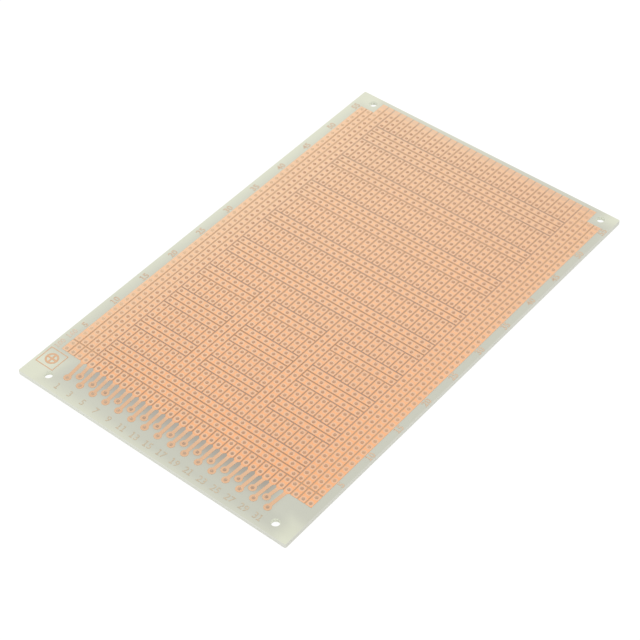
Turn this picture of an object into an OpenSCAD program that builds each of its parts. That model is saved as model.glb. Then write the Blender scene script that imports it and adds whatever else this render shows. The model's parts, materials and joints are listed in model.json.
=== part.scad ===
// Bare prototyping board for a 31-way edge connector: a glass-cloth laminate
// with a grid of drilled holes and etched copper strips on its upper face.
// It lies flat on Z = 0, copper up. X runs across the contact edge, Y runs
// away from it, and the origin is under the middle of the board.

/* [Board] */
// Width across the contact edge
board_width = 100; // [96:1:120]
// Length from the contact edge to the far edge
board_length = 160; // [158:1:200]
// Thickness of the laminate
board_thickness = 1.5; // [0.8:0.1:3.2]

/* [Hole grid] */
// Distance between neighbouring grid holes
pitch = 2.54; // [2.5:0.01:2.54]
// Diameter of the grid and contact holes
hole_d = 1.1; // [0.7:0.05:1.2]
// Distance from the contact edge to the first row of grid holes
first_row_inset = 14.95; // [14.8:0.05:15.8]
// How far the grid and the contacts sit to the right of the board's middle
side_shift = 0.6; // [0:0.1:1]

/* [Copper foil] */
// Thickness of the foil
foil_thickness = 0.035; // [0.035:0.035:0.105]
// Etched gap between neighbouring strips
strip_gap = 0.44; // [0.3:0.02:0.6]
// Gap left between the longest strips and the far edge
far_edge_gap = 1.6; // [1:0.1:2.5]

/* [Contact row] */
// Distance between neighbouring contacts, and between their two rows
contact_pitch = 2.5; // [2.5:0.01:2.54]
// Distance from the contact edge to the outer row of contact holes
outer_row_inset = 6.8; // [6:0.1:8]
// Diameter of the ring round a contact hole
contact_ring_d = 2.4; // [1.8:0.1:2.6]
// Width of the track between a strip and its ring
track_width = 1.15; // [0.6:0.05:1.3]

/* [Mounting holes] */
// Diameter of the two holes beside the contacts
near_mount_d = 2.7; // [2.2:0.1:3.2]
// Distance between the two holes beside the contacts
near_mount_spacing = 85; // [84:0.5:86]
// Distance of those two holes from the contact edge
near_mount_inset = 4.2; // [3.8:0.1:4.5]
// Diameter of the two holes at the far corners
far_mount_d = 2.7; // [2.2:0.1:3.2]
// Distance between the two holes at the far corners
far_mount_spacing = 88.9; // [88:0.1:90]
// Distance of those two holes from the far edge
far_mount_inset = 3.4; // [2.8:0.1:3.7]

/* [Corner mark] */
// Width of the thin square frame in the corner beside contact 1
mark_width = 6.8; // [5.6:0.1:7]
// Width of the line that draws the frame
mark_frame_line = 0.25; // [0.2:0.05:0.4]
// Distance from the middle of the mark to the side of the board
mark_side_inset = 4.4; // [3.6:0.1:5]
// Distance from the middle of the mark to the contact edge
mark_end_inset = 9.3; // [9.2:0.1:9.6]
// Diameter of the ring inside the frame
target_d = 4.2; // [3:0.1:4.6]
// Width of the ring and of the cross through it
target_line = 0.6; // [0.3:0.05:0.8]

/* [Hidden] */
$fn = 48;

laminate_colour = [0.86, 0.86, 0.77];
copper_colour = [0.95, 0.66, 0.45];

columns = 37;
rows = 56;
// Reach of a strip past the centre of its last hole
half_strip = (pitch - strip_gap) / 2;
// Holes in each outer rail stop one row short, clear of the far mounting holes
outer_rail_last_row = rows - 2;
outer_rail_columns = [0, 1, columns - 2, columns - 1];
// First and last column of the field between the side rails
field = [4, columns - 5];
// The two pairs of centre rails part the lower field into three blocks
centre_rail_columns = [12, 13, 22, 23];
blocks = [[4, 11], [14, 21], [24, 32]];
centre_rail_rows = [5, 23];
// First and last row of each group of strips, from the far edge towards the contacts
far_end_rows = [rows - 3, rows - 1];
bus_rows = [[50, 52], [44, 45], [37, 39], [31, 32], [24, 26]];
quad_rows = [[46, 49], [40, 43], [33, 36], [27, 30]];
triple_rows = [[21, 23], [16, 18], [10, 12], [5, 7]];
short_bus_rows = [[19, 20], [13, 15], [8, 9]];
near_bus_rows = [2, 4];
end_rows = [0, 1];
// Columns whose end strips lead on to a contact, the odd contacts first
first_contact_column = 3;
last_contact_column = 33;
contacts = last_contact_column - first_contact_column + 1;

// Centre of a grid column, and of a grid row
function column_x(column) = side_shift + (column - (columns - 1) / 2) * pitch;
function row_y(row) = -board_length / 2 + first_row_inset + row * pitch;
// Centre of a contact hole, counted from 0 on the left; every second one is in the inner row
function is_inner(contact) = contact % 2 == 1;
function contact_x(contact) = side_shift + (contact - (contacts - 1) / 2) * contact_pitch;
function contact_y(contact) =
    -board_length / 2 + outer_row_inset + (is_inner(contact) ? contact_pitch : 0);
function is_outer_rail(column) = len(search(column, outer_rail_columns)) > 0;
// Last row with a hole in a column
function last_row(column) = is_outer_rail(column) ? outer_rail_last_row : rows - 1;
// Reach of the longest strips past the centres of the last row
far_line_reach = board_length / 2 - far_edge_gap - row_y(rows - 1);

// Flat outlines become foil on the laminate's upper face
module foil()
    color(copper_colour)
        translate([0, 0, board_thickness]) linear_extrude(foil_thickness) children();

module grid_hole(column, row)
    translate([column_x(column), row_y(row)]) circle(d = hole_d);

// Pair of mounting holes on one line across the board, either side of the grid's middle
module mount_pair(spacing, y, d)
    for (side = [-1, 1]) translate([side_shift + side * spacing / 2, y]) circle(d = d);

// One strip over a run of columns and rows. far_reach is how far it goes past its last row.
module strip(column_run, row_run, far_reach = half_strip) {
    low = [column_x(column_run[0]) - half_strip, row_y(row_run[0]) - half_strip];
    high = [column_x(column_run[1]) + half_strip, row_y(row_run[1]) + far_reach];
    difference() {
        translate(low) square(high - low);
        for (column = [column_run[0]:column_run[1]], row = [row_run[0]:row_run[1]])
            grid_hole(column, row);
    }
}

// Strips side by side, each one column wide
module upright_strips(column_run, row_run)
    for (column = [column_run[0]:column_run[1]]) strip([column, column], row_run);

// Strips one above the other, each one row wide
module level_strips(column_run, row_run)
    for (row = [row_run[0]:row_run[1]]) strip(column_run, [row, row]);

// A side rail starts beside the nearest bus strips; the inner rails reach the far edge line
module rail(column)
    strip([column, column], [near_bus_rows[0], last_row(column)],
        is_outer_rail(column) ? half_strip : far_line_reach);

// End strip of two holes that narrows to a track and leads to the ring of a contact
module contact_track(contact) {
    x = column_x(first_contact_column + contact);
    ring = [contact_x(contact), contact_y(contact)];
    top = row_y(end_rows[1]) + half_strip;
    shoulder = row_y(end_rows[0]) - half_strip;
    // The shoulders narrow at 45 degrees
    neck = shoulder - (half_strip - track_width / 2);
    difference() {
        union() {
            polygon([
                [x - half_strip, top], [x - half_strip, shoulder], [x - track_width / 2, neck],
                ring - [track_width / 2, 0], ring + [track_width / 2, 0],
                [x + track_width / 2, neck], [x + half_strip, shoulder], [x + half_strip, top]
            ]);
            translate(ring) circle(d = contact_ring_d);
        }
        for (row = end_rows) grid_hole(first_contact_column + contact, row);
        translate(ring) circle(d = hole_d);
    }
}

module laminate()
    color(laminate_colour) linear_extrude(board_thickness) difference() {
        square([board_width, board_length], center = true);
        for (column = [0:columns - 1], row = [0:last_row(column)]) grid_hole(column, row);
        for (contact = [0:contacts - 1])
            translate([contact_x(contact), contact_y(contact)]) circle(d = hole_d);
        mount_pair(near_mount_spacing, -board_length / 2 + near_mount_inset, near_mount_d);
        mount_pair(far_mount_spacing, board_length / 2 - far_mount_inset, far_mount_d);
    }

module left_rails() foil() for (column = [0:3]) rail(column);
module right_rails() foil() for (column = [columns - 4:columns - 1]) rail(column);
module centre_rails()
    foil() for (column = centre_rail_columns) strip([column, column], centre_rail_rows);

module far_end_strips()
    foil() for (column = [field[0]:field[1]])
        strip([column, column], far_end_rows, far_line_reach);

// Level strips across the whole field, set between the rows of upright strips
module bus_strips(group) foil() level_strips(field, bus_rows[group - 1]);

// Upright strips of four holes
module quad_strips(group) foil() upright_strips(field, quad_rows[group - 1]);

// Upright strips of three holes, in the blocks between the centre rails
module triple_strips(group)
    foil() for (block = blocks) upright_strips(block, triple_rows[group - 1]);

// Level strips as wide as one block
module short_bus_strips(group)
    foil() for (block = blocks) level_strips(block, short_bus_rows[group - 1]);

module near_bus_strips() foil() level_strips(field, near_bus_rows);

// End strips of two holes outside the contact row
module plain_end_strips()
    foil() for (column_run = [[0, first_contact_column - 1], [last_contact_column + 1, columns - 1]])
        upright_strips(column_run, end_rows);

module odd_contact_tracks() foil() for (contact = [0:2:contacts - 1]) contact_track(contact);
module even_contact_tracks() foil() for (contact = [1:2:contacts - 2]) contact_track(contact);

// Plain registration target: a ring with a cross through it, in a thin square frame
module corner_mark()
    foil() translate([-board_width / 2 + mark_side_inset, -board_length / 2 + mark_end_inset]) {
        difference() {
            square(mark_width, center = true);
            square(mark_width - 2 * mark_frame_line, center = true);
        }
        difference() {
            circle(d = target_d);
            circle(d = target_d - 2 * target_line);
        }
        square([target_d, target_line], center = true);
        square([target_line, target_d], center = true);
    }

laminate();
left_rails();
right_rails();
centre_rails();
far_end_strips();
bus_strips(1);  // bus_strips_1
bus_strips(2);  // bus_strips_2
bus_strips(3);  // bus_strips_3
bus_strips(4);  // bus_strips_4
bus_strips(5);  // bus_strips_5
quad_strips(1);  // quad_strips_1
quad_strips(2);  // quad_strips_2
quad_strips(3);  // quad_strips_3
quad_strips(4);  // quad_strips_4
triple_strips(1);  // triple_strips_1
triple_strips(2);  // triple_strips_2
triple_strips(3);  // triple_strips_3
triple_strips(4);  // triple_strips_4
short_bus_strips(1);  // short_bus_strips_1
short_bus_strips(2);  // short_bus_strips_2
short_bus_strips(3);  // short_bus_strips_3
near_bus_strips();
plain_end_strips();
odd_contact_tracks();
even_contact_tracks();
corner_mark();
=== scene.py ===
"""Looks of the bare prototyping board: drilled glass-epoxy laminate with etched copper strips."""

import json
import math

import bpy
from mathutils import Matrix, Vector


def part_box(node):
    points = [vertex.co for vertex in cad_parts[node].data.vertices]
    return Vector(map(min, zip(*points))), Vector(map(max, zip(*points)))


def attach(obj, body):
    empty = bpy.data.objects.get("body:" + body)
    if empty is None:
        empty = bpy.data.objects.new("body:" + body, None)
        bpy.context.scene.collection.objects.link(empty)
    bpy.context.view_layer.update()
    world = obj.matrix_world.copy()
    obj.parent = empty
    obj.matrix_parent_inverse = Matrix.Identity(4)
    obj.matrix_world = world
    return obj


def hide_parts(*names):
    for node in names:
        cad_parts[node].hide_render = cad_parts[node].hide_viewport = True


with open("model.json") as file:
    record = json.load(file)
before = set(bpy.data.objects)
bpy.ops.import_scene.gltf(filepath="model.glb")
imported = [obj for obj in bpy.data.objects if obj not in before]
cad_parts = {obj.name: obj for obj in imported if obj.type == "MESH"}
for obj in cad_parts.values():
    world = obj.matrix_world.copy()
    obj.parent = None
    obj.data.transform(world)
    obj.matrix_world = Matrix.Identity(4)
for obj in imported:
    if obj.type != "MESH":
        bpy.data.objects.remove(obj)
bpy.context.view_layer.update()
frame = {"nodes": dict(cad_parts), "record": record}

# A millimetre in metres
MM = 0.001

# ---------------------------------------------------------------- sizes that follow the frame

laminate_low, laminate_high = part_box("laminate")
plain_low, plain_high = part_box("plain_end_strips")
far_strips_low, far_strips_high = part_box("far_end_strips")
centre_rails_low, centre_rails_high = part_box("centre_rails")
odd_low, odd_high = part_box("odd_contact_tracks")
even_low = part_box("even_contact_tracks")[0]

BOARD_TOP = laminate_high.z
FOIL_THICKNESS = plain_high.z - BOARD_TOP
PITCH = 2.54 * MM
HOLE_RADIUS = 0.55 * MM
COLUMNS = 37
ROWS = 56
# A strip reaches this far past the centre of its last hole
HALF_STRIP = (plain_high.x - plain_low.x - (COLUMNS - 1) * PITCH) / 2
FIRST_COLUMN_X = plain_low.x + HALF_STRIP
FIRST_ROW_Y = plain_low.y + HALF_STRIP
# The grid and the contacts share a middle line, which is a little to the right of the board's
MIDDLE_X = (plain_low.x + plain_high.x) / 2
# Each side has four columns of rails. The outer two stop one row short of the inner two.
OUTER_RAILS = 2
INNER_RAILS = 2
# Middles of the two pairs of centre rails, in columns
CENTRE_RAIL_MIDDLES = (12.5, 22.5)

CONTACTS = 31
CONTACT_PITCH = 2.5 * MM
RING_RADIUS = 1.2 * MM
OUTER_CONTACT_Y = odd_low.y + RING_RADIUS
INNER_CONTACT_Y = even_low.y + RING_RADIUS


def column_x(column):
    return FIRST_COLUMN_X + column * PITCH


def row_y(row):
    return FIRST_ROW_Y + row * PITCH


def contact_place(contact):
    """Centre of a contact hole, counted from 0 on the left; every second one is in the inner row."""
    x = MIDDLE_X + (contact - (CONTACTS - 1) / 2) * CONTACT_PITCH
    return x, INNER_CONTACT_Y if contact % 2 else OUTER_CONTACT_Y


def screw_holes():
    """Middle and radius of each screw hole, from the record's bolt patterns."""
    holes = []
    for mount in frame["record"]["mounts"]:
        dims = mount["dims"]
        if "hole_r_mm" in dims:
            middle_x, y, _ = mount["pos_m"]
            reach = dims["spacing_x_mm"] * MM / 2
            for x in (middle_x - reach, middle_x + reach):
                holes.append((x, y, dims["hole_r_mm"] * MM))
    return holes


SCREW_HOLES = screw_holes()

# ---------------------------------------------------------------- shader maths


class Wire:
    """One output in a material's node tree; arithmetic on it adds Math nodes."""

    def __init__(self, finish, output):
        self.finish = finish
        self.output = output

    def math(self, operation, *values):
        return self.finish.node("ShaderNodeMath", {"operation": operation}, values)

    def __add__(self, other):
        return self.math("ADD", self, other)

    __radd__ = __add__

    def __sub__(self, other):
        return self.math("SUBTRACT", self, other)

    def __rsub__(self, other):
        return self.math("SUBTRACT", other, self)

    def __mul__(self, other):
        return self.math("MULTIPLY", self, other)

    __rmul__ = __mul__

    def __truediv__(self, other):
        return self.math("DIVIDE", self, other)

    def __rtruediv__(self, other):
        return self.math("DIVIDE", other, self)

    def __neg__(self):
        return self * -1.0

    def __abs__(self):
        return self.math("ABSOLUTE", self)

    def sine(self):
        return self.math("SINE", self)

    def fraction(self):
        return self.math("FRACT", self)

    def lower(self, other):
        return self.math("MINIMUM", self, other)

    def higher(self, other):
        return self.math("MAXIMUM", self, other)

    def ramp(self, low, high):
        """0 at low, 1 at high, smooth between them and level beyond. low may be the larger."""
        settings = {"interpolation_type": "SMOOTHSTEP"}
        return self.finish.node("ShaderNodeMapRange", settings, [self, low, high, 0.0, 1.0])


class Finish:
    """A material on one Principled shader, with the nodes that vary it over the surface."""

    def __init__(self, name, **constants):
        self.material = bpy.data.materials.new(name)
        self.material.use_nodes = True
        self.tree = self.material.node_tree
        self.shader = self.tree.nodes["Principled BSDF"]
        for socket, value in constants.items():
            self.shader.inputs[socket.replace("_", " ")].default_value = value
        self.place = self.node("ShaderNodeTexCoord", output="Object")

    def node(self, kind, settings=None, values=(), output=0):
        """Adds a node. values fills its sockets in order, or by name or number if it is a dict."""
        made = self.tree.nodes.new(kind)
        for name, value in (settings or {}).items():
            setattr(made, name, value)
        pairs = values.items() if isinstance(values, dict) else enumerate(values)
        for key, value in pairs:
            if isinstance(value, Wire):
                self.tree.links.new(value.output, made.inputs[key])
            else:
                made.inputs[key].default_value = value
        return Wire(self, made.outputs[output])

    def axes(self):
        """X, Y and Z over the piece, in millimetres."""
        split = [self.node("ShaderNodeSeparateXYZ", None, [self.place], axis) for axis in range(3)]
        return [wire / MM for wire in split]

    def noise(self, scale, detail, stretch=(1.0, 1.0, 1.0)):
        """Cloudy 0 to 1 pattern; scale is in blotches to the millimetre."""
        per_metre = [scale / MM * factor for factor in stretch]
        place = self.node("ShaderNodeMapping", None, {"Vector": self.place, "Scale": per_metre})
        return self.node("ShaderNodeTexNoise", None, {"Vector": place, "Scale": 1.0, "Detail": detail})

    def mix(self, factor, first, second):
        """Blend of two colours."""
        settings = {"data_type": "RGBA", "clamp_factor": True}
        return self.node("ShaderNodeMix", settings, {0: factor, 6: first, 7: second}, output=2)

    def blend(self, factor, first, second):
        """Blend of two numbers."""
        return first + (second - first) * factor

    def steps(self, wire, stops):
        """Value of the last (place, value) stop at or before the wire's 0 to 1 value."""
        ramp = self.node("ShaderNodeValToRGB", None, [wire])
        colours = ramp.output.node.color_ramp
        colours.interpolation = "CONSTANT"
        for place, value in stops[1:]:
            colours.elements.new(place).color = (value, value, value, 1.0)
        colours.elements[0].color = (stops[0][1],) * 3 + (1.0,)
        # A new ramp has an end stop of its own
        colours.elements.remove(colours.elements[-1])
        return ramp

    def shade(self, colour, factor):
        """A colour made lighter or darker by a factor near 1."""
        grey = self.node("ShaderNodeCombineXYZ", None, [factor, factor, factor])
        return self.node("ShaderNodeVectorMath", {"operation": "MULTIPLY"}, [colour, grey])

    def bump(self, height, depth):
        """Relief of the given depth in metres from a 0 to 1 height."""
        values = {"Height": height, "Distance": depth, "Strength": 1.0}
        self.feed("Normal", self.node("ShaderNodeBump", None, values))

    def feed(self, socket, wire):
        self.tree.links.new(wire.output, self.shader.inputs[socket])


def srgb(red, green, blue):
    """Linear colour with full alpha from 0 to 255 display values."""
    parts = [value / 255 for value in (red, green, blue)]
    return [v / 12.92 if v <= 0.04045 else ((v + 0.055) / 1.055) ** 2.4 for v in parts] + [1.0]


# ---------------------------------------------------------------- where the laminate is bare


def beyond_box(x, y, left, right, low, high):
    """Distance outside a rectangle, in millimetres, less than 0 inside. The sides are in metres."""
    across = (left / MM - x).higher(x - right / MM)
    along = (low / MM - y).higher(y - high / MM)
    return across.higher(along)


def beyond_copper(finish):
    """Distances, in millimetres, outside the strip field and outside all copper."""
    x, y, _ = finish.axes()
    outer_rail_top = row_y(ROWS - 2) + HALF_STRIP
    field = beyond_box(x, y, plain_low.x, plain_high.x, plain_low.y, outer_rail_top)
    # Only the inner rails of each side reach the far end
    left = far_strips_low.x - INNER_RAILS * PITCH
    right = far_strips_high.x + INNER_RAILS * PITCH
    field = field.lower(beyond_box(x, y, left, right, plain_low.y, far_strips_high.y))
    # The contacts' box runs on into the field, so that no seam shows between the two
    contacts = beyond_box(x, y, odd_low.x, odd_high.x, odd_low.y, row_y(5))
    return field, field.lower(contacts)


# ---------------------------------------------------------------- finishes

# Resin and glass cloth clear of the copper, and with painted shade beside the copper and between the
# contact tracks, where the copper keeps light from coming through the laminate
OPEN_LAMINATE = srgb(225, 227, 206)
SHADED_LAMINATE = srgb(205, 206, 191)
TRACK_SHADE_LEFT = srgb(178, 173, 162)
TRACK_SHADE_RIGHT = srgb(168, 160, 147)
# Narrow gaps, with painted shade from the copper on both sides, which keeps light from coming through
# the laminate there and tints it warm: in upright blocks, in level groups, between blocks, at the
# sides of the field and between the rails
UPRIGHT_GAP = srgb(188, 148, 115)
LEVEL_GAP = srgb(180, 140, 107)
BLOCK_GAP = srgb(174, 142, 119)
SIDE_GAP = srgb(187, 150, 122)
RAIL_GAP = srgb(198, 159, 123)
# Seen from below, where the copper's painted shadow shows faintly through the laminate
BACKED_LAMINATE = srgb(204, 188, 162)
BACKED_GAP = srgb(217, 209, 190)
# The sawn rim, painted paler where more light falls on it: both ends of the contact edge, and the
# other three sides
LIT_RIM_LEFT = srgb(234, 236, 224)
LIT_RIM_RIGHT = srgb(229, 230, 219)
RIM_SIDE = srgb(222, 222, 211)
# Walls of the grid holes, and the light that comes through them: in the field, near the contacts,
# and with what leaks in beside the bare laminate
WALL_DARK = srgb(120, 104, 88)
WALL_LIGHT = srgb(198, 173, 149)
FIELD_GLOW = srgb(131, 110, 93)
CONTACT_GLOW = srgb(115, 107, 99)
FIELD_LEAK = srgb(158, 146, 125)
CONTACT_LEAK = srgb(138, 132, 120)
# Walls of the screw holes, and the light that comes through them
SCREW_WALL_DARK = srgb(221, 222, 210)
SCREW_WALL_LIGHT = srgb(228, 231, 218)
SCREW_GLOW_DARK = srgb(84, 85, 79)
SCREW_GLOW_LIGHT = srgb(92, 93, 87)
# Foil at the near right, and at the far left with a painted sheen of reflected light
WARM_COPPER = srgb(228, 168, 122)
SHEEN_COPPER = srgb(226, 188, 153)
# The foil is duller round each hole, and paler there on the left, as the broad foil's painted sheen is
HOLE_RING_LEFT = srgb(218, 186, 157)
HOLE_RING_RIGHT = srgb(214, 177, 148)
# The fine tracks and rings are duller than the broad strips
FINE_COPPER = srgb(208, 170, 137)
# Dark and light of the lettering: contact numbers, row numbers and the card's size
GREY_FOIL = (srgb(196, 181, 157), srgb(209, 193, 168))
DULL_FOIL = (srgb(206, 182, 157), srgb(215, 191, 166))
PALE_FOIL = (srgb(216, 198, 178), srgb(222, 204, 184))

# Steps of the glass cloth and of its layers, in millimetres
CLOTH_PITCH = 0.55
PLY_PITCH = 0.19
# Depths of the fine relief, in metres
CLOTH_DEPTH = 0.003 * MM
DRILLED_DEPTH = 0.01 * MM
SAWN_DEPTH = 0.0005 * MM
FOIL_GRAIN_DEPTH = 0.0004 * MM
# The laminate is at its palest this far from the copper, in millimetres
OPEN_DISTANCE = 7.5
# The gaps that border a group of level strips lie within this distance of it
GROUP_MARGIN = 0.2 * PITCH
# A contact track fades between these distances from its middle line, in millimetres
TRACK_FADE = (0.35, 0.8)


def cloth_weave(x, y):
    """0 to 1 relief of the plain-woven glass cloth under the resin skin."""
    warp = (x * (math.tau / CLOTH_PITCH)).sine()
    weft = (y * (math.tau / CLOTH_PITCH)).sine()
    return warp * weft * 0.5 + 0.5


def ply_lines(z):
    """0 to 1 pattern of the layers of cloth, seen edge on."""
    return (z * (math.tau / PLY_PITCH)).sine() * 0.5 + 0.5


def cut_fibres(finish):
    """0 to 1 pattern of the glass fibres in a cut wall, longer along it than they are high."""
    return finish.noise(3.0, 2.0, (1.0, 1.0, 3.0))


def gap_line(place):
    """1 half way between two grid holes along one axis, where place counts holes, else 0."""
    return 1.0 - abs(place.fraction() - 0.5).ramp(0.04, 0.16)


def level_rows(finish, y, margin):
    """1 over the groups of level strips, widened by a margin in metres, and 0 between them."""
    groups = [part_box(name) for name in frame["nodes"] if "bus_strips" in name]
    spans = sorted((low.y, high.y) for low, high in groups)
    stops = [(0.0, 0.0)]
    for low, high in spans:
        stops.append(((low - margin - FIRST_ROW_Y) / PITCH / ROWS, 1.0))
        stops.append(((high + margin - FIRST_ROW_Y) / PITCH / ROWS, 0.0))
    return finish.steps((y - FIRST_ROW_Y / MM) / (PITCH / MM * ROWS), stops)


def beside_field(x):
    """Distance outside the columns between the side rails, in millimetres, less than 0 inside."""
    return (far_strips_low.x / MM - x).higher(x - far_strips_high.x / MM)


def gap_colour(finish, x, y):
    """Painted shade of the laminate in the narrow gaps between the strips."""
    outside = beside_field(x)
    colour = finish.mix(level_rows(finish, y, GROUP_MARGIN), UPRIGHT_GAP, BLOCK_GAP)
    colour = finish.mix(level_rows(finish, y, -GROUP_MARGIN), colour, LEVEL_GAP)
    colour = finish.mix(outside.ramp(-0.1, 0.0), colour, SIDE_GAP)
    return finish.mix(outside.ramp(0.5, 0.7), colour, RAIL_GAP)


def gaps_below(finish, x, y):
    """1 over the gaps between strips, as they show through the laminate from below."""
    across = (x - FIRST_COLUMN_X / MM) / (PITCH / MM)
    along = (y - FIRST_ROW_Y / MM) / (PITCH / MM)
    # Distance outside the nearer pair of centre rails, in millimetres
    middles = [column_x(column) / MM for column in CENTRE_RAIL_MIDDLES]
    first, second = [abs(x - middle) - PITCH / MM for middle in middles]
    past_ends = (y - centre_rails_high.y / MM).higher(centre_rails_low.y / MM - y)
    beside_rails = first.lower(second).higher(past_ends)
    level = level_rows(finish, y, GROUP_MARGIN)
    crossways = level * beside_field(x).ramp(0.3, 0.0) * beside_rails.ramp(0.0, 0.2)
    return finish.blend(crossways, gap_line(across), gap_line(along))


def tracks_below(x, y):
    """1 over the contact tracks and their rings, as they show through the laminate from below."""
    pair = 2 * CONTACT_PITCH / MM
    area = beyond_box(x, y, odd_low.x, odd_high.x, odd_low.y, plain_low.y)
    rows = []
    # The middle contact is an inner one, and the outer ones stand half a pair to its side
    for ring_y, side in ((INNER_CONTACT_Y / MM, 0.5), (OUTER_CONTACT_Y / MM, 0.0)):
        across = abs(((x - MIDDLE_X / MM) / pair + side).fraction() - 0.5) * pair
        along = y - ring_y
        # The ring fades round its radius, in square millimetres
        ring = 1.0 - (across * across + along * along).ramp(1.0, 1.9)
        track = (1.0 - across.ramp(*TRACK_FADE)) * along.ramp(-0.2, 0.2)
        rows.append(ring.higher(track))
    inner, outer = rows
    return inner.higher(outer) * area.ramp(-0.2, -0.4)


def laminate_face():
    """Both faces of the board: the gaps and margins above, with painted shade near the copper, and the
    copper's painted shadow showing through below.
    """
    finish = Finish("laminate_face", Roughness=0.4, IOR=1.5)
    x, y, z = finish.axes()
    field, copper = beyond_copper(finish)
    weave = cloth_weave(x, y)
    clouds = finish.noise(0.12, 3.0)

    # Painted shade and light: the laminate is darker near the copper, which keeps light from coming
    # through it, and grows paler away from it, sooner on the left and at the far end
    distance = copper - x * 0.045 + y * 0.02 + clouds * 1.2 - 0.6
    # Painted shade: the right margin is darker, but not at its two ends
    right = x.ramp(15.0, 50.0)
    ends = abs(y).ramp(66.0, 78.0)
    distance = distance + right * ends * 1.4
    openness = distance.ramp(0.0, OPEN_DISTANCE)
    # Painted shade: a band below the outer rings is darker too, apart from its left end
    band = 1.0 - abs(y - odd_low.y / MM + 1.3).ramp(1.0, 3.5)
    darker = right * (1.0 - ends) * 0.03 + band * x.ramp(-30.0, 0.0) * 0.045

    # Painted shade between the contact tracks, darker on the right, and beside the copper
    between_tracks = finish.mix(x.ramp(-40.0, 40.0), TRACK_SHADE_LEFT, TRACK_SHADE_RIGHT)
    beside = finish.mix(copper.ramp(-8.0, 1.0), between_tracks, SHADED_LAMINATE)
    bare = finish.mix(openness, beside, OPEN_LAMINATE)
    bare = finish.shade(bare, weave * 0.02 + clouds * 0.03 + 0.975 - darker)
    # Painted light: the gaps grow paler where the far end strips run out and less copper shades them
    far_end = (y - far_strips_high.y / MM).ramp(-3.5, 0.0)
    outside = field.ramp(-0.3, 0.2).higher(far_end * 0.5)
    above = finish.mix(outside, gap_colour(finish, x, y), bare)

    backed = finish.mix(gaps_below(finish, x, y), BACKED_LAMINATE, BACKED_GAP)
    unbacked = finish.mix(openness, SHADED_LAMINATE, OPEN_LAMINATE)
    unbacked = finish.mix(tracks_below(x, y), unbacked, BACKED_LAMINATE)
    below = finish.mix(field.ramp(-0.3, 0.3), backed, unbacked)
    below = finish.shade(below, weave * 0.02 + clouds * 0.05 + 0.965)

    top = BOARD_TOP / MM
    finish.feed("Base Color", finish.mix(z.ramp(top * 0.3, top * 0.7), below, above))
    finish.feed("Roughness", clouds * 0.12 + 0.34)
    finish.bump(weave, CLOTH_DEPTH)
    return finish.material


def drilled_wall():
    """Hole walls: light comes through the laminate, and more of it where no copper shades it."""
    finish = Finish("drilled_wall", Roughness=0.8, IOR=1.5, Emission_Strength=1.0)
    x, y, z = finish.axes()
    _, copper = beyond_copper(finish)
    fibres = cut_fibres(finish)
    tone = ply_lines(z) * 0.05 + fibres * 0.1 + 0.93
    # Light leaks in beside the bare laminate, most of all on the left
    leak = copper.ramp(-5.5, -0.5) * (0.57 - x * 0.006)
    near_contacts = (row_y(2) / MM - y).ramp(-2.0, 8.0)
    shaded = finish.mix(near_contacts, FIELD_GLOW, CONTACT_GLOW)
    leaked = finish.mix(near_contacts, FIELD_LEAK, CONTACT_LEAK)
    # More light again comes in at the far right corner
    corner = x.ramp(20.0, 48.0) * y.ramp(62.0, 76.0)
    glow = finish.mix(leak, shaded, leaked)
    finish.feed("Base Color", finish.mix(tone, WALL_DARK, WALL_LIGHT))
    finish.feed("Emission Color", finish.shade(glow, tone * (corner * 0.25 + 1.0)))
    finish.bump(fibres, DRILLED_DEPTH)
    return finish.material


def sawn_edge():
    """The rim, with painted light that makes it paler along the contact edge than along the other
    sides.
    """
    finish = Finish("sawn_edge", Roughness=0.7, IOR=1.5)
    x, y, z = finish.axes()
    fibres = cut_fibres(finish)
    colour = finish.mix(x.ramp(-50.0, 50.0), LIT_RIM_LEFT, LIT_RIM_RIGHT)
    colour = finish.mix((y - laminate_low.y / MM).ramp(0.1, 0.6), colour, RIM_SIDE)
    finish.feed("Base Color", finish.shade(colour, ply_lines(z) * 0.03 + fibres * 0.03 + 0.97))
    finish.bump(fibres, SAWN_DEPTH)
    return finish.material


def screw_hole_wall():
    """Walls of the four large holes, where some light comes through the laminate."""
    finish = Finish("screw_hole_wall", Roughness=0.7, IOR=1.5, Emission_Strength=1.0)
    _, _, z = finish.axes()
    fibres = cut_fibres(finish)
    tone = ply_lines(z) * 0.5 + fibres * 0.5
    finish.feed("Base Color", finish.mix(tone, SCREW_WALL_DARK, SCREW_WALL_LIGHT))
    finish.feed("Emission Color", finish.mix(tone, SCREW_GLOW_DARK, SCREW_GLOW_LIGHT))
    finish.bump(fibres, SAWN_DEPTH)
    return finish.material


def beside_holes(x, y):
    """1 at the rim of a grid hole, 0 from two thirds of a millimetre outside it."""
    across = ((x - FIRST_COLUMN_X / MM) / (PITCH / MM) + 0.5).fraction() - 0.5
    along = ((y - FIRST_ROW_Y / MM) / (PITCH / MM) + 0.5).fraction() - 0.5
    # Squares of the distance from the hole's middle, in pitches
    return 1.0 - (across * across + along * along).ramp(0.05, 0.22)


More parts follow.
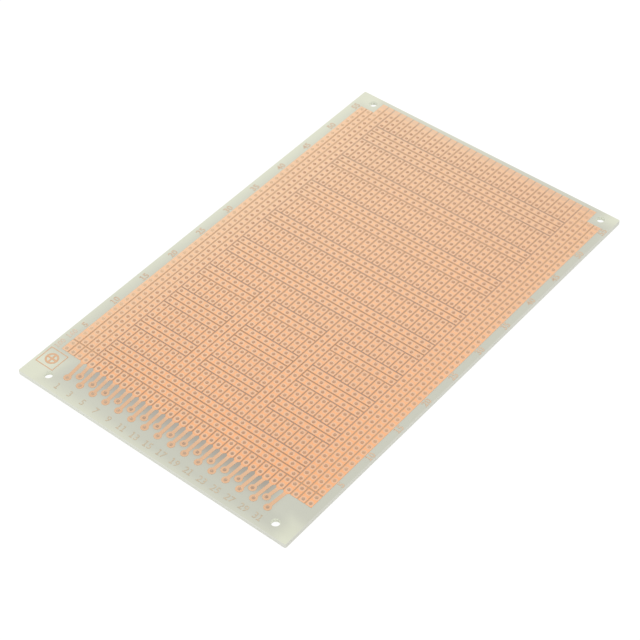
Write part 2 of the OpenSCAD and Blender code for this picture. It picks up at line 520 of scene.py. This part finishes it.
def copper_foil():
    """Bright foil with a painted sheen, paler towards the far end and the left side, and duller round
    the holes.
    """
    finish = Finish("copper_foil", Metallic=1.0, Coat_Weight=0.2, Coat_Roughness=0.25)
    x, y, _ = finish.axes()
    clouds = finish.noise(0.05, 4.0)
    grain = finish.noise(1.2, 1.0, (1.0, 0.06, 1.0))
    # Painted sheen: paler and brighter towards the far end and the left, where a reflection would
    # fall; the clouds add random mottling
    left = (-x).ramp(26.0, 48.0)
    sheen_and_mottle = y / 160 - x / 300 + left * 0.45 + clouds * 0.4 + 0.25
    broad = finish.mix(sheen_and_mottle, WARM_COPPER, SHEEN_COPPER)
    drilled = finish.mix(x.ramp(-45.0, 45.0), HOLE_RING_LEFT, HOLE_RING_RIGHT)
    colour = finish.mix(beside_holes(x, y), broad, drilled)
    contact_side = (row_y(0) / MM - y).ramp(0.5, 3.0)
    colour = finish.mix(contact_side, colour, FINE_COPPER)
    finish.feed("Base Color", finish.shade(colour, grain * 0.02 + left * 0.02 + 0.99))
    finish.feed("Roughness", grain * 0.06 + clouds * 0.08 + 0.35)
    finish.bump(grain, FOIL_GRAIN_DEPTH)
    return finish.material


def tarnished_foil(name, dark, light):
    """Fine etched lettering, duller than the broad copper."""
    finish = Finish(name, Metallic=0.6)
    clouds = finish.noise(0.4, 3.0)
    finish.feed("Base Color", finish.mix(clouds.ramp(0.3, 0.7), dark, light))
    finish.feed("Roughness", clouds * 0.2 + 0.4)
    return finish.material


# ---------------------------------------------------------------- modelling helpers


def deselect():
    bpy.ops.object.select_all(action="DESELECT")


def finish_piece(piece, name, materials):
    """Names a modelled piece, gives it its materials and fixes it to the root body."""
    piece.name = name
    piece.data.name = name
    piece.data.materials.clear()
    for material in materials:
        piece.data.materials.append(material)
    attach(piece, "root")


# ---------------------------------------------------------------- the drilled laminate

HOLE_SIDES = 16
SCREW_HOLE_SIDES = 48
EDGE_CHAMFER = 0.08 * MM
CORNER_RADIUS = 0.4 * MM
CORNER_STEPS = 3
# Material slots of the board
FACE_SLOT, GRID_WALL_SLOT, RIM_SLOT, SCREW_WALL_SLOT = range(4)


def hole_loop(radius, x, y, sides=HOLE_SIDES):
    """Adds an open circle at board-top level, which in edit mode joins the mesh being edited."""
    # Flat sides stay outside the true circle, so that no laminate shows inside a foil hole
    outer = radius / math.cos(math.pi / sides)
    bpy.ops.mesh.primitive_circle_add(vertices=sides, radius=outer, location=(x, y, BOARD_TOP))


def repeat(piece, count, step):
    """Repeats the piece along step with an Array modifier."""
    array = piece.modifiers.new("repeat", "ARRAY")
    array.count = count
    array.use_relative_offset = False
    array.use_constant_offset = True
    array.constant_offset_displace = step
    bpy.ops.object.modifier_apply(modifier=array.name)


def hole_field(first_column, columns, rows):
    """Hole loops over a block of grid columns, all from the first row up."""
    deselect()
    hole_loop(HOLE_RADIUS, column_x(first_column), row_y(0))
    field = bpy.context.object
    bpy.ops.object.transform_apply()
    repeat(field, columns, (PITCH, 0, 0))
    repeat(field, rows, (0, PITCH, 0))
    return field


def is_level(face):
    """True for the two faces of the board, and not for its walls and chamfers."""
    return abs(face.normal.z) > 0.9


def on_rim(place):
    """True in a narrow strip along the board's outline, which no hole reaches."""
    rim_x = laminate_high.x - 2 * CORNER_RADIUS
    rim_y = laminate_high.y - 2 * CORNER_RADIUS
    return abs(place.x) > rim_x or abs(place.y) > rim_y


def in_screw_hole(place):
    """True for a wall of a screw hole, whose circle is drawn a little wide."""
    for x, y, radius in SCREW_HOLES:
        if math.hypot(place.x - x, place.y - y) < 1.1 * radius:
            return True
    return False


def paint_walls(mesh):
    """Gives each face of the board the material of its kind."""
    for face in mesh.polygons:
        if is_level(face):
            face.material_index = FACE_SLOT
        elif on_rim(face.center):
            face.material_index = RIM_SLOT
        elif in_screw_hole(face.center):
            face.material_index = SCREW_WALL_SLOT
        else:
            face.material_index = GRID_WALL_SLOT


def model_laminate():
    """Every hole is a loop in one outline, which is filled flat and pushed down to its thickness."""
    blocks = [
        hole_field(0, OUTER_RAILS, ROWS - 1),
        hole_field(OUTER_RAILS, COLUMNS - 2 * OUTER_RAILS, ROWS),
        hole_field(COLUMNS - OUTER_RAILS, OUTER_RAILS, ROWS - 1),
    ]
    deselect()
    for block in blocks:
        block.select_set(True)
    bpy.context.view_layer.objects.active = blocks[0]
    bpy.ops.object.join()
    board = bpy.context.object
    bpy.ops.object.mode_set(mode="EDIT")
    for contact in range(CONTACTS):
        hole_loop(HOLE_RADIUS, *contact_place(contact))
    for x, y, radius in SCREW_HOLES:
        hole_loop(radius, x, y, SCREW_HOLE_SIDES)
    # The outline is short by the chamfer, which the rim's inset gives back
    bpy.ops.mesh.select_all(action="DESELECT")
    width = laminate_high.x - laminate_low.x - 2 * EDGE_CHAMFER
    length = laminate_high.y - laminate_low.y - 2 * EDGE_CHAMFER
    bpy.ops.mesh.primitive_plane_add(size=1, location=(0, 0, BOARD_TOP))
    bpy.ops.transform.resize(value=(width, length, 1), center_override=(0, 0, BOARD_TOP))
    bpy.ops.mesh.bevel(offset=CORNER_RADIUS, segments=CORNER_STEPS, affect="VERTICES")
    bpy.ops.mesh.delete(type="ONLY_FACE")
    bpy.ops.mesh.select_all(action="SELECT")
    bpy.ops.mesh.fill(use_beauty=False)
    thickness = BOARD_TOP - laminate_low.z
    bpy.ops.mesh.extrude_region_move(TRANSFORM_OT_translate={"value": (0, 0, -thickness)})
    bpy.ops.mesh.select_all(action="SELECT")
    bpy.ops.mesh.normals_make_consistent(inside=False)
    bpy.ops.mesh.select_mode(type="FACE")
    bpy.ops.mesh.select_all(action="DESELECT")
    bpy.ops.object.mode_set(mode="OBJECT")
    for face in board.data.polygons:
        face.select = not is_level(face) and on_rim(face.center)
    bpy.ops.object.mode_set(mode="EDIT")
    bpy.ops.mesh.inset(thickness=EDGE_CHAMFER, depth=EDGE_CHAMFER, use_even_offset=True)
    bpy.ops.object.mode_set(mode="OBJECT")
    # In the order of the slots
    materials = [laminate_face(), drilled_wall(), sawn_edge(), screw_hole_wall()]
    finish_piece(board, "drilled_laminate", materials)
    paint_walls(board.data)
    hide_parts("laminate")


# ---------------------------------------------------------------- etched numbers

# Heights of the figures, what is added to the width of their strokes, and where they stand
CONTACT_NUMBER_HEIGHT = 2.15 * MM
CONTACT_NUMBER_STROKE = -0.02 * MM
CONTACT_NUMBER_Y = (laminate_low.y + odd_low.y) / 2 - 0.2 * MM
ROW_NUMBER_HEIGHT = 2.0 * MM
ROW_NUMBER_STROKE = 0.1 * MM
# From the outermost strips to the middle of the row numbers
ROW_NUMBER_GAP = 1.4 * MM
NUMBERED_ROWS = range(5, ROWS + 1, 5)
# The card's width and length in small figures, beside the corner mark
SIZE_NUMBERS = (("100", plain_low.y + 1.3 * MM), ("160", plain_low.y + 6.2 * MM))
SIZE_NUMBER_HEIGHT = 1.7 * MM
SIZE_NUMBER_STROKE = 0.06 * MM
SIZE_NUMBER_GAP = 1.9 * MM
# Turn of the figures that read along the board
READING_ALONG = math.pi / 2
# Shares of the text size: how tall the built-in face draws its digits, and the step between them
DIGIT_TALL = 0.69
DIGIT_STEP = 0.5
# The figure 1 as (left, right, low, high) of its stem, foot and flag, in shares of the text size
ONE_BARS = (
    (-0.05, 0.05, -0.21, 0.38),
    (-0.17, 0.17, -0.31, -0.21),
    (-0.17, -0.05, 0.28, 0.38),
)


def figure_one(size, heavier):
    """The built-in face has a bare stem for a 1, so this one is built from bars."""
    bars = []
    for left, right, low, high in ONE_BARS:
        middle = ((left + right) / 2 * size, (low + high) / 2 * size, 0)
        spread = ((right - left) * size + heavier, (high - low) * size, FOIL_THICKNESS)
        bpy.ops.mesh.primitive_cube_add(size=1, location=middle, scale=spread)
        bars.append(bpy.context.object)
    return bars


def figure(digit, size, heavier):
    """Pieces of one digit at the origin. heavier is how much is added to the stroke's width."""
    if digit == "1":
        return figure_one(size, heavier)
    bpy.ops.object.text_add(location=(0, 0, 0))
    label = bpy.context.object
    label.data.body = digit
    label.data.align_x = "CENTER"
    label.data.align_y = "CENTER"
    label.data.size = size
    label.data.resolution_u = 3
    label.data.offset = heavier / 2
    label.data.extrude = FOIL_THICKNESS / 2
    bpy.ops.object.convert(target="MESH")
    return [label]


def join_pieces(pieces):
    """Applies where the pieces stand and joins them into the first."""
    deselect()
    for piece in pieces:
        piece.select_set(True)
    bpy.context.view_layer.objects.active = pieces[0]
    bpy.ops.object.transform_apply()
    if len(pieces) > 1:
        bpy.ops.object.join()
    return pieces[0]


def number(text, x, y, height, heavier, turn=0.0):
    """A plain number in thin foil, centred on a place and turned about it."""
    size = height / DIGIT_TALL
    parts = []
    for index, digit in enumerate(text):
        for part in figure(digit, size, heavier):
            part.location.x += (index - (len(text) - 1) / 2) * DIGIT_STEP * size
            parts.append(part)
    label = join_pieces(parts)
    label.location = (x, y, BOARD_TOP + FOIL_THICKNESS / 2)
    label.rotation_euler = (0, 0, turn)
    return label


def contact_numbers(material):
    """Odd contact numbers, each centred below its ring."""
    labels = []
    for contact in range(0, CONTACTS, 2):
        x = contact_place(contact)[0]
        text = str(contact + 1)
        labels.append(number(text, x, CONTACT_NUMBER_Y, CONTACT_NUMBER_HEIGHT, CONTACT_NUMBER_STROKE))
    finish_piece(join_pieces(labels), "contact_numbers", [material])


def row_numbers(material):
    """Every fifth row numbered in both long margins, reading along the board."""
    labels = []
    for row in NUMBERED_ROWS:
        y = row_y(row - 1)
        for x in (plain_low.x - ROW_NUMBER_GAP, plain_high.x + ROW_NUMBER_GAP):
            label = number(str(row), x, y, ROW_NUMBER_HEIGHT, ROW_NUMBER_STROKE, READING_ALONG)
            labels.append(label)
    finish_piece(join_pieces(labels), "row_numbers", [material])


def size_numbers(material):
    """The card's width and length, reading along the board."""
    x = plain_low.x - SIZE_NUMBER_GAP
    labels = []
    for text, y in SIZE_NUMBERS:
        label = number(text, x, y, SIZE_NUMBER_HEIGHT, SIZE_NUMBER_STROKE, READING_ALONG)
        labels.append(label)
    finish_piece(join_pieces(labels), "size_numbers", [material])


# ---------------------------------------------------------------- stage, light and camera

FLOOR_SIZE = 4
# The floor lies a little below the board, so that the two don't share a plane
FLOOR_Z = -0.02 * MM
FLOOR_PAPER = srgb(246, 246, 246)
# Share of plain white in what the camera and mirrors see of the floor; the rest keeps the shadow
WHITE_SHARE = 0.8
WHITE_STRENGTH = 1.1
SKY_STRENGTH = 0.9
SOFTBOX_SIZE = 0.8
SOFTBOX_POWER = 1.2
SOFTBOX_PLACE = (-0.4, 0.5, 0.9)
SOFTBOX_TILT = (math.radians(-35), math.radians(-24), 0)
CAMERA_PLACE = (0.25707, -0.31024, 0.40722)
CAMERA_AZIMUTH = math.radians(40.0799)
CAMERA_ELEVATION = math.radians(46.0118)
CAMERA_ROLL = math.radians(-1.0303)
CAMERA_LENS = 108.333
CAMERA_SENSOR = 36
CAMERA_CLIP_START = 0.01


def stage():
    """A floor of pale paper that is nearly white to the camera and keeps a soft shadow."""
    bpy.ops.mesh.primitive_plane_add(size=FLOOR_SIZE, location=(0, 0, FLOOR_Z))
    floor = bpy.context.object
    floor.name = "floor"
    finish = Finish("floor_paper", Base_Color=FLOOR_PAPER, Roughness=1.0, Specular_IOR_Level=0.0)
    white = {"Color": (1, 1, 1, 1), "Strength": WHITE_STRENGTH}
    lit = finish.node("ShaderNodeEmission", None, white)
    seen = finish.node("ShaderNodeLightPath", output="Is Camera Ray")
    mirrored = finish.node("ShaderNodeLightPath", output="Is Glossy Ray")
    share = seen.higher(mirrored) * WHITE_SHARE
    paper = Wire(finish, finish.shader.outputs["BSDF"])
    surface = finish.node("ShaderNodeMixShader", None, [share, paper, lit])
    finish.tree.links.new(surface.output, finish.tree.nodes["Material Output"].inputs["Surface"])
    floor.data.materials.append(finish.material)


def lights():
    """A white sky all round and one weak softbox."""
    world = bpy.data.worlds.new("studio")
    bpy.context.scene.world = world
    world.use_nodes = True
    background = world.node_tree.nodes["Background"]
    background.inputs["Color"].default_value = (1, 1, 1, 1)
    background.inputs["Strength"].default_value = SKY_STRENGTH
    lamp = bpy.data.lights.new("softbox", "AREA")
    lamp.size = SOFTBOX_SIZE
    lamp.energy = SOFTBOX_POWER
    softbox = bpy.data.objects.new("softbox", lamp)
    bpy.context.collection.objects.link(softbox)
    softbox.location = SOFTBOX_PLACE
    softbox.rotation_euler = SOFTBOX_TILT


def camera():
    """A long lens above the right end of the contact edge, looking across the board."""
    lens = bpy.data.cameras.new("camera")
    lens.sensor_width = CAMERA_SENSOR
    lens.lens = CAMERA_LENS
    lens.clip_start = CAMERA_CLIP_START
    eye = bpy.data.objects.new("camera", lens)
    bpy.context.collection.objects.link(eye)
    turn = Matrix.Rotation(CAMERA_AZIMUTH, 3, "Z")
    tilt = Matrix.Rotation(math.pi / 2 - CAMERA_ELEVATION, 3, "X")
    roll = Matrix.Rotation(CAMERA_ROLL, 3, "Z")
    eye.rotation_euler = (turn @ tilt @ roll).to_euler()
    eye.location = CAMERA_PLACE
    bpy.context.scene.camera = eye


# ---------------------------------------------------------------- making


def dress_foil():
    """All the CAD nodes but the laminate are copper."""
    foil = copper_foil()
    for name, node in frame["nodes"].items():
        if name != "laminate":
            node.data.materials.clear()
            node.data.materials.append(foil)


camera()
lights()
stage()
dress_foil()
model_laminate()
contact_numbers(tarnished_foil("grey_foil", *GREY_FOIL))
row_numbers(tarnished_foil("dull_foil", *DULL_FOIL))
size_numbers(tarnished_foil("pale_foil", *PALE_FOIL))

bpy.context.scene.view_settings.view_transform = "Standard"
